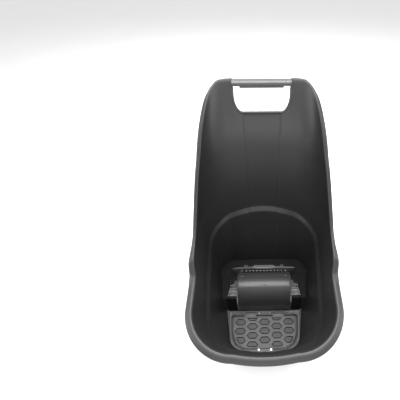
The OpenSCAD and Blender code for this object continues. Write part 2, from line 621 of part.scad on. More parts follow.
module bracket_screws() color("#9a9c9f") translate([0, -mid_y, 0])
    for (p = bracket_screw_places) translate(p) screw(bracket_t + shelf_t + floor_t - 1);
module on_axle() translate([0, axle_y - mid_y, axle_z]) children();
module axle() color("#b9bbbd") on_axle() across(-axle_half, axle_half) circle(d = axle_d);
cap_d = 22;
module axle_cap() on_axle() difference() {
    across(leg_x1 + 0.3, axle_half + 3) circle(d = cap_d);
    across(leg_x1 - 1, axle_half) circle(d = axle_d);
}
module axle_cap_left() color("#303133") mirror([1, 0, 0]) axle_cap();
module axle_cap_right() color("#303133") axle_cap();
spacer_d = bush_d;
module spacer() on_axle() across(roller_w / 2 + 0.3, leg_x0 - 0.2) difference() {
    circle(d = spacer_d);
    circle(d = axle_d + 4 * run_fit);
}
module spacer_left() color("#8f9194") mirror([1, 0, 0]) spacer();
module spacer_right() color("#8f9194") spacer();

// ---------- roller ----------
drum_r = roller_r - tread_t;
drum_w = roller_w / 2;
drum_wall = 4;
hub_r = bush_d / 2 + 6;
web_t = 4;
web_x = drum_w - 12;
drum_screw_r = drum_r * 0.62;
drum_screw_d = 4;
// Profile of one half as [radius, distance from the middle].
module drum() on_axle() rotate([0, 90, 0]) difference() {
    rotate_extrude($fn = 96) polygon([[axle_d / 2 + 1, 0], [drum_r, 0], [drum_r, drum_w],
        [drum_r - drum_wall, drum_w], [drum_r - drum_wall, web_x + web_t], [hub_r, web_x + web_t],
        [hub_r, drum_w], [bush_d / 2, drum_w], [bush_d / 2, drum_w - bush_l], [axle_d / 2 + 1, drum_w - bush_l],
        [axle_d / 2 + 1, drum_w - bush_l - 4], [hub_r, drum_w - bush_l - 4], [hub_r, web_x],
        [drum_r - drum_wall, web_x], [drum_r - drum_wall, web_t], [axle_d / 2 + 1, web_t]]);
    for (k = [0 : 2]) rotate(k * 120) translate([drum_screw_r, 0, -1]) cylinder(d = drum_screw_d, h = web_t + 2);
}
module roller_drum_left() color("#2a2b2d") mirror([1, 0, 0]) drum();
module roller_drum_right() color("#2a2b2d") drum();
module drum_screws() color("#9a9c9f") on_axle() rotate([0, 90, 0]) for (k = [0 : 2]) rotate(k * 120)
    translate([drum_screw_r, 0, -web_t - 2]) {
        cylinder(d = drum_screw_d, h = 2 * web_t + 3);
        cylinder(d = 8, h = 2);
    }
groove_pitch = 17;
groove_d = 2.5;
module roller_tread() color("#1d1d1e") on_axle() rotate([0, 90, 0]) rotate_extrude($fn = 96) difference() {
    translate([drum_r, -drum_w]) square([tread_t, roller_w]);
    for (k = [-5 : 5]) translate([roller_r, k * groove_pitch]) circle(r = groove_d, $fn = 16);
}
module bush() on_axle() across(drum_w - bush_l, drum_w) difference() {
    circle(d = bush_d);
    circle(d = axle_d + 2 * run_fit);
}
module bush_left() color("#d9d4c6") mirror([1, 0, 0]) bush();
module bush_right() color("#d9d4c6") bush();

tub();
grip_core();
grip_upper();
grip_lower();
grip_screws();
carrier_frame();
carrier_shelf();
carrier_screws();
hatch_lid();
hatch_seal();
hinge_pin_left();
hinge_pin_right();
latch_slide();
latch_screws();
roller_guard();
guard_screws();
rear_shroud();
shroud_screws();
axle_bracket_left();
axle_bracket_right();
bracket_screws();
axle();
roller_drum_left();
roller_drum_right();
drum_screws();
roller_tread();
bush_left();
bush_right();
spacer_left();
spacer_right();
axle_cap_left();
axle_cap_right();
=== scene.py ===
# %% [markdown]
# A rolling garden tub, dressed for a studio picture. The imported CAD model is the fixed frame: it holds every
# size and joint, and this lesson builds the smooth skins and the finishes around it. All lengths below are in
# millimetres, as a toolmaker would write them, and one small function turns them into Blender's metres.

# %% Load the frame
import json
import math
import bmesh
import bpy
import numpy as np
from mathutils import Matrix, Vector


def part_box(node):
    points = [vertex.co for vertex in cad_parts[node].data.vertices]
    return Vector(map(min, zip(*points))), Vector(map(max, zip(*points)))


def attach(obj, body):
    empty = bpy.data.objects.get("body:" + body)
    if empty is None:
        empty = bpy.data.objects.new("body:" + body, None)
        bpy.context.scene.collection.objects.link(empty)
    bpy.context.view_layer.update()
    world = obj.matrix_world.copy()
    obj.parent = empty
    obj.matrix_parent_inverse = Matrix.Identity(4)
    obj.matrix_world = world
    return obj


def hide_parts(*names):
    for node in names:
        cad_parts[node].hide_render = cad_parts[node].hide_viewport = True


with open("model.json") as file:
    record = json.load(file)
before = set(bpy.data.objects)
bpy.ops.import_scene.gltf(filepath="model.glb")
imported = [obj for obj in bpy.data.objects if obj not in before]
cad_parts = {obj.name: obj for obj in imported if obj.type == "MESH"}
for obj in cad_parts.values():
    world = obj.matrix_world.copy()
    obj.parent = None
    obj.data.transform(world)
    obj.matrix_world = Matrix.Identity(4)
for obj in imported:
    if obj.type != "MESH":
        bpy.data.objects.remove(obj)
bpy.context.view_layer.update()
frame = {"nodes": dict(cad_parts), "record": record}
MM = 0.001


def edges_of(node):
    """The lowest and highest corners of a CAD node, in millimetres."""
    low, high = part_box(node)
    return [c / MM for c in low], [c / MM for c in high]


# %% [markdown]
# The camera looks down into the tub from just in front of its lip, so the roller guard and the hatch show.
# It stands off to one side of the frame's centre, which a small lens shift gives without turning the view.

# %% Camera
camera_data = bpy.data.cameras.new("camera")
camera_data.sensor_width = 36
camera_data.lens = 20.8
camera_data.shift_x = -0.164
camera_data.shift_y = 0.0586
camera_data.clip_start = 0.01
camera = bpy.data.objects.new("camera", camera_data)
camera.location = (-0.0025, -0.4032, 1.159)
camera.rotation_euler = [math.radians(a) for a in (35.394, -0.138, -1.056)]
bpy.context.collection.objects.link(camera)
bpy.context.scene.camera = camera
print("camera is", round(camera.location.z, 3), "m up")

# %% [markdown]
# The studio is a seamless pale floor with a big soft lamp overhead and a weaker one on each side. Large lamps
# give the long soft highlights that show how a moulded lip is rounded.

# %% Floor and lamps
FLOOR_SIZE = 12.0


def soft_lamp(name, place, aim, size, power):
    data = bpy.data.lights.new(name, "AREA")
    data.shape = "RECTANGLE"
    data.size, data.size_y = size
    data.energy = power
    lamp = bpy.data.objects.new(name, data)
    lamp.location = place
    lamp.rotation_euler = (Vector(aim) - Vector(place)).to_track_quat("-Z", "Y").to_euler()
    bpy.context.collection.objects.link(lamp)
    return lamp


bpy.ops.mesh.primitive_plane_add(size=FLOOR_SIZE)
floor = bpy.context.object
floor.name = "floor"
soft_lamp("overhead", (0.0, 0.1, 2.9), (0, 0.1, 0.3), (2.2, 1.2), 58)
soft_lamp("left_bank", (-2.2, -0.3, 1.5), (0, 0, 0.35), (1.2, 1.8), 22)
soft_lamp("right_bank", (2.2, -0.3, 1.5), (0, 0, 0.35), (1.2, 1.8), 22)
soft_lamp("front_fill", (0.0, -2.4, 1.5), (0, 0, 0.3), (2.0, 1.2), 14)
soft_lamp("back_bank", (0.0, 1.9, 2.7), (0, -0.25, 0.4), (2.2, 0.7), 115)
world = bpy.data.worlds.new("studio")
bpy.context.scene.world = world
world.use_nodes = True
world.node_tree.nodes["Background"].inputs["Color"].default_value = (1, 1, 1, 1)
world.node_tree.nodes["Background"].inputs["Strength"].default_value = 0.85
bpy.context.scene.view_settings.view_transform = "Standard"

# %% [markdown]
# Shader maths reads best as ordinary arithmetic. A Wire wraps one output of a node, and its operators add the
# Math nodes, so `0.4 + 0.1 * grain` is a sum of sockets. A Finish is one material, and its `add` makes any node.


# %% Shader arithmetic
class Wire:
    """One output of a node. Sums and products of wires become Math nodes."""

    def __init__(self, finish, socket):
        self.finish = finish
        self.socket = socket

    def _math(self, operation, first, second):
        return self.finish.add("ShaderNodeMath", {"operation": operation}, {0: first, 1: second})

    def __add__(self, other):
        return self._math("ADD", self, other)

    def __radd__(self, other):
        return self._math("ADD", other, self)

    def __sub__(self, other):
        return self._math("SUBTRACT", self, other)

    def __rsub__(self, other):
        return self._math("SUBTRACT", other, self)

    def __mul__(self, other):
        return self._math("MULTIPLY", self, other)

    def __rmul__(self, other):
        return self._math("MULTIPLY", other, self)


class Finish:
    """One procedural material with a Principled shader."""

    def __init__(self, name):
        self.material = bpy.data.materials.new(name)
        self.material.use_nodes = True
        self.tree = self.material.node_tree
        self.shader = self.tree.nodes["Principled BSDF"]
        self.place = self.add("ShaderNodeTexCoord", {}, {}, "Object")

    def add(self, kind, settings, sockets, output=0):
        """Adds a node: its settings first, then the values or wires of its sockets."""
        node = self.tree.nodes.new(kind)
        for key, value in settings.items():
            if key == "stops":
                ramp = node.color_ramp
                while len(ramp.elements) < len(value):
                    ramp.elements.new(0.5)
                for element, (at, grey) in zip(ramp.elements, value):
                    element.position = at
                    element.color = (grey, grey, grey, 1)
            else:
                setattr(node, key, value)
        for key, value in sockets.items():
            self.feed(node.inputs[key], value)
        return Wire(self, node.outputs[output])

    def feed(self, socket, value):
        if isinstance(value, Wire):
            self.tree.links.new(value.socket, socket)
        else:
            socket.default_value = value

    def set(self, **sockets):
        """Sets or wires the shader's own sockets; an underscore stands for a space."""
        for key, value in sockets.items():
            self.feed(self.shader.inputs[key.replace("_", " ")], value)

    def noise(self, scale, detail=4.0, rough=0.55, stretch=None):
        place = self.place
        if stretch:
            place = self.add("ShaderNodeMapping", {}, {"Vector": place, "Scale": stretch})
        return self.add("ShaderNodeTexNoise", {}, {"Vector": place, "Scale": scale, "Detail": detail,
                                                  "Roughness": rough})

    def cells(self, scale):
        return self.add("ShaderNodeTexVoronoi", {}, {"Vector": self.place, "Scale": scale})

    def ramp(self, value, stops):
        return self.add("ShaderNodeValToRGB", {"stops": stops}, {0: value})

    def blend(self, factor, first, second):
        return self.add("ShaderNodeMix", {"data_type": "RGBA"}, {0: factor, 6: first, 7: second}, 2)

    def bump(self, height, distance, strength=1.0, over=None):
        sockets = {"Height": height, "Distance": distance, "Strength": strength}
        if over:
            sockets["Normal"] = over
        return self.add("ShaderNodeBump", {}, sockets)


def grey(level, warm=0.0):
    return (level * (1 + warm), level, level * (1 - warm), 1)


print("shader arithmetic ready")

# %% [markdown]
# Injection-moulded polypropylene is never one flat grey. The tool leaves a fine spark-eroded grain, the melt
# leaves slow waves of gloss, corners polish lighter with use, and the walls pick up faint rubbed streaks. Each is
# one noise at its own scale, and each plastic below is the same recipe with its own grey, gloss and grain.


# %% Moulded plastics
def moulded(name, level, gloss, grain=0.00012, grain_size=1400.0, wear=0.35, coat=0.0, warm=0.0,
            shine=0.5):
    f = Finish(name)
    slow = f.noise(3.5, 3.0)
    mottle = f.noise(60.0, 5.0)
    streaks = f.ramp(f.noise(7.0, 8.0, 0.7, (1.0, 1.0, 9.0)), [(0.56, 0.0), (0.72, 1.0)])
    edge = f.ramp(f.add("ShaderNodeNewGeometry", {}, {}, "Pointiness"), [(0.5, 0.0), (0.58, 1.0)])
    shade = 0.86 + 0.2 * slow + 0.08 * mottle
    body = f.add("ShaderNodeMix", {"data_type": "RGBA", "blend_type": "MULTIPLY"},
                 {0: 1.0, 6: grey(level, warm), 7: shade}, 2)
    rubbed = f.blend(0.14 * streaks, body, grey(level * 1.7 + 0.02))
    worn = f.blend(wear * edge, rubbed, grey(level * 2.0 + 0.03))
    pits = f.cells(grain_size)
    grain_wire = f.bump(pits * 0.6 + f.noise(grain_size * 1.6, 2.0) * 0.4, grain)
    waves = f.bump(f.noise(11.0, 2.0), 0.0012, 0.25, grain_wire)
    f.set(Base_Color=worn, Roughness=gloss + 0.12 * slow - 0.06 + 0.1 * streaks, Normal=waves,
          Specular_IOR_Level=shine, Coat_Weight=coat, Coat_Roughness=0.12)
    return f.material


tub_plastic = moulded("tub_plastic", 0.024, 0.4)
grip_plastic = moulded("grip_plastic", 0.045, 0.42)
carrier_plastic = moulded("carrier_plastic", 0.085, 0.42, wear=0.5)
shroud_plastic = moulded("shroud_plastic", 0.08, 0.42, wear=0.5)
# Painted shade: a near-black copy of the carrier plastic for the carrier shelf and its riser.
shelf_painted_shade = moulded("shelf_painted_shade", 0.008, 0.5, wear=0.2, shine=0.12)
# Painted shade: a darker copy of the tub plastic for the raised deck round the roller.
deck_painted_shade = moulded("deck_painted_shade", 0.01, 0.5, wear=0.2, shine=0.12)
# Painted shade: a near-black plastic for the channels in the lid and the groove round it.
groove_painted_shade = moulded("groove_painted_shade", 0.008, 0.6, wear=0.0, shine=0.1)
guard_plastic = moulded("guard_plastic", 0.04, 0.3, grain=0.00004, wear=0.4, coat=0.12)
# Painted light: the brackets share the carrier plastic but are drawn nearly twice as light.
bracket_painted_light = moulded("bracket_painted_light", 0.16, 0.45, wear=0.5)
pocket_plastic = moulded("pocket_plastic", 0.085, 0.55, grain=0.0006, grain_size=420.0, wear=0.3)
drum_plastic = moulded("drum_plastic", 0.02, 0.5)
acetal = moulded("acetal", 0.6, 0.3, grain=0.00003, warm=0.06, wear=0.1)
rubber = moulded("tread_rubber", 0.016, 0.72, grain=0.0003, grain_size=700.0, wear=0.6)
seal_rubber = moulded("seal_rubber", 0.012, 0.6, grain=0.0001, wear=0.2)
print("plastics:", len([m for m in bpy.data.materials if m.use_nodes]))

# %% [markdown]
# The pins, the axle and the screws are zinc-plated steel. Fine brushed lines, stretched along the axle, break up
# the reflection, and a cloudy patchiness is what a thin zinc coat looks like after a season outdoors.


# %% Steel and floor
def zinc(name, dark=1.0):
    f = Finish(name)
    lines = f.noise(300.0, 4.0, 0.6, (0.05, 1.0, 1.0))
    cloud = f.noise(25.0, 5.0)
    f.set(Base_Color=f.blend(cloud, grey(0.5 * dark), grey(0.72 * dark)), Metallic=1.0,
          Roughness=0.2 + 0.2 * cloud, Normal=f.bump(lines, 0.00006))
    return f.material


steel = zinc("zinc_steel")
black_zinc = zinc("black_zinc", 0.12)
floor_finish = Finish("studio_floor")
floor_finish.set(Base_Color=floor_finish.blend(floor_finish.noise(2.0), (0.86, 0.86, 0.86, 1), (0.9, 0.9, 0.9, 1)),
                 Roughness=0.7)
floor.data.materials.append(floor_finish.material)
print("steel and floor made")

# %% [markdown]
# Every new piece goes through the same few helpers: build a mesh from points in millimetres, cut it with another
# mesh, shade it smooth with crisp corners, and tie it to its CAD body and its finish.


# %% Mesh helpers
SHARP_EDGE = math.radians(35)


def mesh_piece(name, points, faces):
    mesh = bpy.data.meshes.new(name)
    mesh.from_pydata([tuple(c * MM for c in p) for p in points], [], faces)
    mesh.validate()
    piece = bpy.data.objects.new(name, mesh)
    bpy.context.collection.objects.link(piece)
    return piece


def tidy_shading(piece, crease=32.0):
    """Smooth shading, with edges sharper than the crease angle left crisp."""
    work = bmesh.new()
    work.from_mesh(piece.data)
    bmesh.ops.recalc_face_normals(work, faces=work.faces)
    limit = math.radians(crease)
    for edge in work.edges:
        edge.smooth = len(edge.link_faces) == 2 and edge.calc_face_angle(0) < limit
    for face in work.faces:
        face.smooth = True
    work.to_mesh(piece.data)
    work.free()


def combine(piece, other, operation):
    """Applies an exact boolean for good, and removes the other solid."""
    step = piece.modifiers.new("combine", "BOOLEAN")
    step.object, step.operation, step.solver = other, operation, "EXACT"
    baked = bpy.data.meshes.new_from_object(piece.evaluated_get(bpy.context.evaluated_depsgraph_get()))
    piece.modifiers.clear()
    piece.data = baked
    bpy.data.objects.remove(other)


def cut(piece, cutter):
    """Takes the cutter away from the piece."""
    combine(piece, cutter, "DIFFERENCE")


def join_on(piece, extra):
    """Welds another solid onto the piece."""
    combine(piece, extra, "UNION")


def prism(outline_points, low, high, axis="Z"):
    """A straight block with this outline, between two heights along an axis."""
    count = len(outline_points)
    order = {"Z": lambda a, b, h: (a, b, h), "Y": lambda a, b, h: (a, h, b), "X": lambda a, b, h: (h, a, b)}[axis]
    points = [order(a, b, h) for h in (low, high) for a, b in outline_points]
    faces = [tuple(range(count)), tuple(range(count, 2 * count))]
    faces += [(i, (i + 1) % count, count + (i + 1) % count, count + i) for i in range(count)]
    block = mesh_piece("block", points, faces)
    tidy_shading(block)
    return block


def dress(piece, material, body, slot, *nodes):
    """Gives a piece its finish, its body and the CAD nodes that it stands for; its slot is not used."""
    piece.data.materials.clear()
    piece.data.materials.append(material)
    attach(piece, body)
    if nodes:
        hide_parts(*nodes)
    print(piece.name, "has", len(piece.data.vertices), "points")
    return piece


def round_edges(piece, width, segments=3):
    """Rounds every sharp edge of a finished solid."""
    work = bmesh.new()
    work.from_mesh(piece.data)
    bmesh.ops.remove_doubles(work, verts=work.verts, dist=0.01 * MM)
    bmesh.ops.dissolve_limit(work, angle_limit=math.radians(1.0), verts=work.verts, edges=work.edges)
    sharp = [e for e in work.edges if len(e.link_faces) == 2 and e.calc_face_angle(0) > SHARP_EDGE]
    bmesh.ops.bevel(work, geom=sharp, offset=width * MM, segments=segments, profile=0.5, affect="EDGES",
                    clamp_overlap=True)
    work.to_mesh(piece.data)
    work.free()
    tidy_shading(piece, 40)


def soften(node, width, material, body, slot):
    """A copy of a CAD node with moulded, rounded edges."""
    piece = bpy.data.objects.new(node + "_moulded", frame["nodes"][node].data.copy())
    bpy.context.collection.objects.link(piece)
    round_edges(piece, width)
    return dress(piece, material, body, slot, node)


print("mesh helpers ready")

# %% [markdown]
# The tub is one deep moulding. Its plan outline changes with height: narrow at the foot, wide over the shoulders
# and narrow again at the hand rail, while the back wall leans and then flares. A place on the outline is a number
# from 0, the middle of the front, to 5, the middle of the back, so one small formula gives every ring of points.

# %% Tub sizes
RIM_Z, SHOULDER_Z = 430.0, 478.0
TOP_Z = edges_of("tub")[1][2]
FRONT_FOOT, BACK_FOOT, FOOT_HALF, FOOT_BACK_HALF = 80.0, 473.0, 160.0, 204.0
RIM_HALF, SHOULDER_HALF, TOP_HALF = 213.0, 225.0, 153.0
LEAN, FLARE, FLARE_Z = 0.2, 54.0, TOP_Z - 148
FRONT_BOW, BACK_BOW = 8.0, 3.0
WALL, WALL_BACK, FLOOR_T = 4.0, 3.0, 5.0
LIP_FRONT, LIP_BACK, LIP_DROP, LIP_T = 26.0, 14.0, 16.0, 3.5
STEP, ARCH_FRONT, ARCH_BACK, ARCH_BAND = 9.0, 262.0, 420.0, 22.0
RISER_Y, RISER_RUN, SHELF_Z = 264.0, 32.0, 86.0
SLOT_HALF, SLOT_LOW_HALF, SLOT_Z, SLOT_CORNER = 89.0, 60.0, TOP_Z - 78, 44.0
AXLE_Y, AXLE_Z = 346.0, 80.0
LIP_TO_CENTRE = 0.628 - edges_of("tub")[0][1]
WELL_MARGIN, NOTCH_HALF, WELL_BACK_GAP = 25.0, 13.0, 14.0


def clamp(x):
    return min(1.0, max(0.0, x))


def smooth(x):
    x = clamp(x)
    return x * x * (3 - 2 * x)


def mix(a, b, t):
    return a + (b - a) * t


def two_part(z, low, mid, top):
    """A line from low to mid at the shoulders, then on to top at the rail, softly joined."""
    turn = SHOULDER_Z - 8
    lower = mix(low, mid, z / turn)
    upper = mix(mid, top, (z - turn) / (TOP_Z - turn))
    return mix(lower, upper, smooth((z - turn + 40) / 80))


def curve(table, s):
    """A smooth curve through [place, height] pairs that never overshoots them."""
    if s <= table[0][0]:
        return table[0][1]
    if s >= table[-1][0]:
        return table[-1][1]
    i = max(k for k in range(len(table) - 1) if table[k][0] <= s)
    gap = table[i + 1][0] - table[i][0]
    t = (s - table[i][0]) / gap

    def slope(k):
        if k in (0, len(table) - 1):
            return 0.0
        a = (table[k][1] - table[k - 1][1]) / (table[k][0] - table[k - 1][0])
        b = (table[k + 1][1] - table[k][1]) / (table[k + 1][0] - table[k][0])
        return 0.0 if a * b <= 0 else 2 * a * b / (a + b)

    return (table[i][1] * (2 * t**3 - 3 * t * t + 1) + slope(i) * gap * (t**3 - 2 * t * t + t)
            + table[i + 1][1] * (3 * t * t - 2 * t**3) + slope(i + 1) * gap * (t**3 - t * t))


CLIMB, ARCH_RISE = TOP_Z - SHOULDER_Z, ARCH_BACK - ARCH_FRONT
RIM = [(0, RIM_Z), (2.2, RIM_Z), (2.32, RIM_Z + 6), (2.45, SHOULDER_Z - 6), (2.52, SHOULDER_Z)]
RIM += [(s, SHOULDER_Z + part * CLIMB) for s, part in
        ((2.62, 0.02), (2.72, 0.065), (2.85, 0.26), (2.98, 0.57), (3.12, 0.79), (3.35, 0.94), (3.7, 1), (5, 1))]
ARCH = [(s, ARCH_FRONT + part * ARCH_RISE) for s, part in
        ((0, 0), (1.5, 0), (2, 0.16), (2.5, 0.32), (2.8, 0.38), (3, 0.42), (3.25, 0.49), (3.6, 0.64), (4, 0.85),
         (4.5, 0.965), (5, 1))]


def back_y(z):
    return BACK_FOOT + LEAN * z + FLARE * max(0.0, (z - FLARE_Z) / (TOP_Z - FLARE_Z)) ** 1.4


PANEL_HALF, PANEL_SINK, PANEL_EDGE = 60.0, 2.5, 6.0


def panel_sink(x, z):
    """The middle of the back wall is set back a little between two upright creases."""
    side = smooth((PANEL_HALF - 4 * (1 - z / TOP_Z) - abs(x)) / PANEL_EDGE + 0.5)
    return PANEL_SINK * side * smooth((z - 120) / 80)


def outline(s, z, d):
    """The point at place s on the outline at height z, offset outwards by d."""
    u = min(z, SHOULDER_Z) / RIM_Z
    wf = mix(FOOT_HALF, RIM_HALF, u + 0.5 * u * (1 - u)) + d
    wb = two_part(z, FOOT_BACK_HALF, SHOULDER_HALF, TOP_HALF) + d
    yf = mix(FRONT_FOOT, LIP_FRONT + STEP, z / RIM_Z) - d
    yb = back_y(z) + d
    rf = mix(62, 122, z / RIM_Z) + d
    rb = two_part(z, 66, 106, 60) + d
    if s <= 1:
        return (wf - rf) * s, yf + FRONT_BOW * s * s
    if s <= 2:
        a = math.radians(90 * (s - 1))
        return wf - rf + rf * math.sin(a), yf + FRONT_BOW + rf - rf * math.cos(a)
    if s <= 3:
        return mix(wf, wb, s - 2), mix(yf + FRONT_BOW + rf, yb - rb, s - 2)
    if s <= 4:
        a = math.radians(90 * (s - 3))
        return wb - rb + rb * math.cos(a), yb - rb + rb * math.sin(a)
    x = (wb - rb) * (5 - s)
    return x, yb + BACK_BOW * (1 - (5 - s) ** 2) ** 2 + panel_sink(x, z)


def side_place(y, z):
    start, end = outline(2, z, 0)[1], outline(3, z, 0)[1]
    return 2 + (y - start) / (end - start)


def floor_z(y):
    return mix(FLOOR_T, SHELF_Z, clamp((y - RISER_Y) / RISER_RUN))


print("front lip stands at", round(-LIP_TO_CENTRE, 1), "mm from the centre")

# %% [markdown]
# The wall's cross-section is drawn as a few corner points, from the inside of the floor, over the rolled lip and
# down the outside to the foot. Cutting each corner in turn (Chaikin's rule) rounds them all like a real moulding.


# %% Wall section
def chaikin(points, rounds):
    for _ in range(rounds):
        fresh = [points[0]]
        for (a, b), (c, d) in zip(points, points[1:]):
            fresh += [(0.75 * a + 0.25 * c, 0.75 * b + 0.25 * d), (0.25 * a + 0.75 * c, 0.25 * b + 0.75 * d)]
        points = fresh + [points[-1]]
    return points


def settle_floor(s):
    z = FLOOR_T
    for _ in range(12):
        z = floor_z(outline(s, z, 0)[1])
    return z


def wall_section(s):
    """Corner points as (height, outward offset), rounded."""
    ground, arch, top = settle_floor(s), curve(ARCH, s), curve(RIM, s)
    wall = mix(WALL, WALL_BACK, smooth((s - 2.3) / 0.5))
    edge = STEP + mix(LIP_FRONT, LIP_BACK, smooth((s - 2.25) / 0.5))
    low = arch - ARCH_BAND
    steps = (0.02, 0.3, 0.6, 0.9)
    inner = [(ground, -2.5), (ground, 0)] + [(mix(ground, low, t), 0) for t in steps]
    inner += [(low, 0), (low + 4, 1.5), (arch - 4, STEP - 1.5), (arch, STEP)]
    inner += [(mix(arch, top - 12, t), STEP) for t in (0.1, 0.35, 0.65, 0.95)]
    width = edge - STEP
    dome = ((0.0, 8), (0.06, 3), (0.16, 0.6), (0.3, 0), (0.45, 0.5), (0.6, 1.6), (0.75, 3.4), (0.88, 6), (0.97, 9),
            (1.0, 12))
    lip = [(top - fall, STEP + width * part) for part, fall in dome]
    lip += [(top - LIP_DROP, edge), (top - LIP_DROP, edge - LIP_T), (top - 11, edge - LIP_T - 0.5),
            (top - LIP_T - 2.5, edge - LIP_T - 4), (top - LIP_T - 1, STEP + wall + 3),
            (top - LIP_T - 5, STEP + wall)]
    outer = [(mix(arch, top - 12, t), STEP + wall) for t in (0.9, 0.6, 0.35, 0.1)]
    outer += [(arch, STEP + wall), (arch - 4, STEP + wall - 1.5), (low + 4, wall + 1.5), (low, wall)]
    outer += [(mix(ground, low, t), wall) for t in (0.9, 0.6, 0.3, 0.06)]
    base = ground - FLOOR_T
    outer += [(base + 9, wall), (base + 1, wall - 0.5), (base, wall - 9)]
    return chaikin(inner + lip + outer, 2)


def column(s, side):
    points = []
    for z, d in wall_section(s):
        x, y = outline(s, z, d)
        points.append((side * x, y - LIP_TO_CENTRE, z))
    return points


print("section points:", len(wall_section(1.0)))

# %% [markdown]
# Rings of columns make the skin, and the inner and outer floors are ruled straight across from side to side, so
# the low front floor, the sloping riser and the raised rear floor all come out flat. The hand slot, the roller
# well and the axle notches are then cut through, and the raised deck round the roller gets a darker copy of the
# tub plastic, which is painted shade.

# %% Tub skin
riser_places = [side_place(RISER_Y, FLOOR_T), side_place(RISER_Y + RISER_RUN, SHELF_Z)]
places = sorted(set(list(np.linspace(0, 1, 9)) + list(np.linspace(1, 2, 27)) + list(np.linspace(2, 3, 71))
                    + list(np.linspace(3, 4, 33)) + list(np.linspace(4, 5, 45)) + riser_places))
right = [column(s, 1) for s in places]
left = [column(s, -1) for s in places]
columns = right + left[-2:0:-1]
rows, around, half = len(right[0]), len(columns), len(places)
faces = [(i * rows + j, (i + 1) % around * rows + j, (i + 1) % around * rows + j + 1, i * rows + j + 1)
         for i in range(around) for j in range(rows - 1)]


def lane(i):
    return i if i in (0, half - 1) else around - i


for j in (0, rows - 1):
    for i in range(half - 1):
        ring = [i * rows + j, (i + 1) * rows + j, lane(i + 1) * rows + j, lane(i) * rows + j]
        faces.append(tuple(dict.fromkeys(ring)))
tub = mesh_piece("tub_skin", [p for c in columns for p in c], faces)
tidy_shading(tub)


def lip_frame(points):
    """Shifts outline points from the lip's own depths to the frame's."""
    return [(x, y - LIP_TO_CENTRE) for x, y in points]


def box_outline(x0, x1, y0, y1):
    return [(x0, y0), (x1, y0), (x1, y1), (x0, y1)]


slot_right = [(SLOT_LOW_HALF * t, SLOT_Z) for t in (0.35, 0.7)]
for k in range(13):
    turn = math.radians(7.5 * k)
    slot_right.append((mix(SLOT_LOW_HALF, SLOT_HALF, math.sin(turn)),
                       mix(SLOT_Z + SLOT_CORNER, SLOT_Z, math.cos(turn))))
slot_right += [(SLOT_HALF, SLOT_Z + 60), (SLOT_HALF, TOP_Z + 20)]
slot_line = [(-x, z) for x, z in reversed(slot_right)] + slot_right
cut(tub, prism(slot_line, 200, 500, "Y"))
well_half = edges_of("roller_tread")[1][0] + WELL_MARGIN
well_front = RISER_Y - 1 - LIP_TO_CENTRE
well_back = AXLE_Y + AXLE_Z + WELL_BACK_GAP - LIP_TO_CENTRE
cut(tub, prism(box_outline(-well_half, well_half, well_front, well_back), -1, SHELF_Z + 30))
axle_end = edges_of("axle")[1][0] + 5
axle_y = AXLE_Y - LIP_TO_CENTRE
cut(tub, prism(box_outline(-axle_end, axle_end, axle_y - NOTCH_HALF, axle_y + NOTCH_HALF), -1, SHELF_Z + 30))
tidy_shading(tub)
dress(tub, tub_plastic, "barrow", "tub", "tub")
# The upward faces of the raised deck take the darker plastic: painted shade round the roller.
tub.data.materials.append(deck_painted_shade)
for face in tub.data.polygons:
    on_deck = SHELF_Z - 3 < face.center.z / MM < SHELF_Z + 6 and abs(face.center.x / MM) < FOOT_BACK_HALF + 2
    if face.normal.z > 0.8 and on_deck:
        face.material_index = 1

# %% [markdown]
# A raw cut edge would look like sheet metal. On the real moulding the slot has a rounded bead all round, so a
# small tube follows the slot's outline down the middle of the wall.


# %% Slot bead
def swept_tube(name, path, radius, sides=12):
    points, faces = [], []
    for i, p in enumerate(path):
        before, after = Vector(path[max(0, i - 1)]), Vector(path[min(len(path) - 1, i + 1)])
        along = (after - before).normalized()
        first = along.cross(Vector((0, 1, 0))).normalized()
        second = along.cross(first).normalized()
        for k in range(sides):
            a = 2 * math.pi * k / sides
            points.append(tuple(Vector(p) + radius * (first * math.cos(a) + 1.25 * second * math.sin(a))))
    for i in range(len(path) - 1):
        faces += [(i * sides + k, i * sides + (k + 1) % sides, (i + 1) * sides + (k + 1) % sides,
                   (i + 1) * sides + k) for k in range(sides)]
    faces += [tuple(range(sides)), tuple(range(len(points) - sides, len(points)))]
    tube = mesh_piece(name, points, faces)
    tidy_shading(tube, 60)
    return tube


def panel_mid_y(z):
    return back_y(z) + STEP + WALL_BACK / 2 + BACK_BOW * 0.6 - LIP_TO_CENTRE


bead_line = [(x, panel_mid_y(z), z) for x, z in slot_line if z < TOP_Z - 20]
bead_end_x, bead_end_z = SLOT_HALF * 1.004, TOP_Z - 20
bead_line.insert(0, (-bead_end_x, panel_mid_y(bead_end_z), bead_end_z))
bead_line.append((bead_end_x, panel_mid_y(bead_end_z), bead_end_z))
BEAD_RADIUS = 3.6
dress(swept_tube("slot_bead", bead_line, BEAD_RADIUS), tub_plastic, "barrow", "tub")

# %% [markdown]
# The roller guard is a half barrel that narrows slightly towards its crown. It starts as a solid block with its
# end edges well rounded, is hollowed by a smaller block, and then gets its ears, the flanges that lie over the
# edges of the well, its axle notches and the small marks that the mould leaves on top.

# %% Roller guard
GUARD_R, GUARD_WALL, GUARD_PAST, GUARD_FOOT = 87.0, 3.5, 28.0, 56.0
GUARD_LOW, GUARD_HIGH, PLATE_TOP, SHELF_TOP = 126.0, 115.0, 12.0, 92.0
GUARD_REAR = GUARD_R * math.sin(math.radians(GUARD_PAST))
RISER_TOP = RISER_Y + RISER_RUN + 2 - AXLE_Y


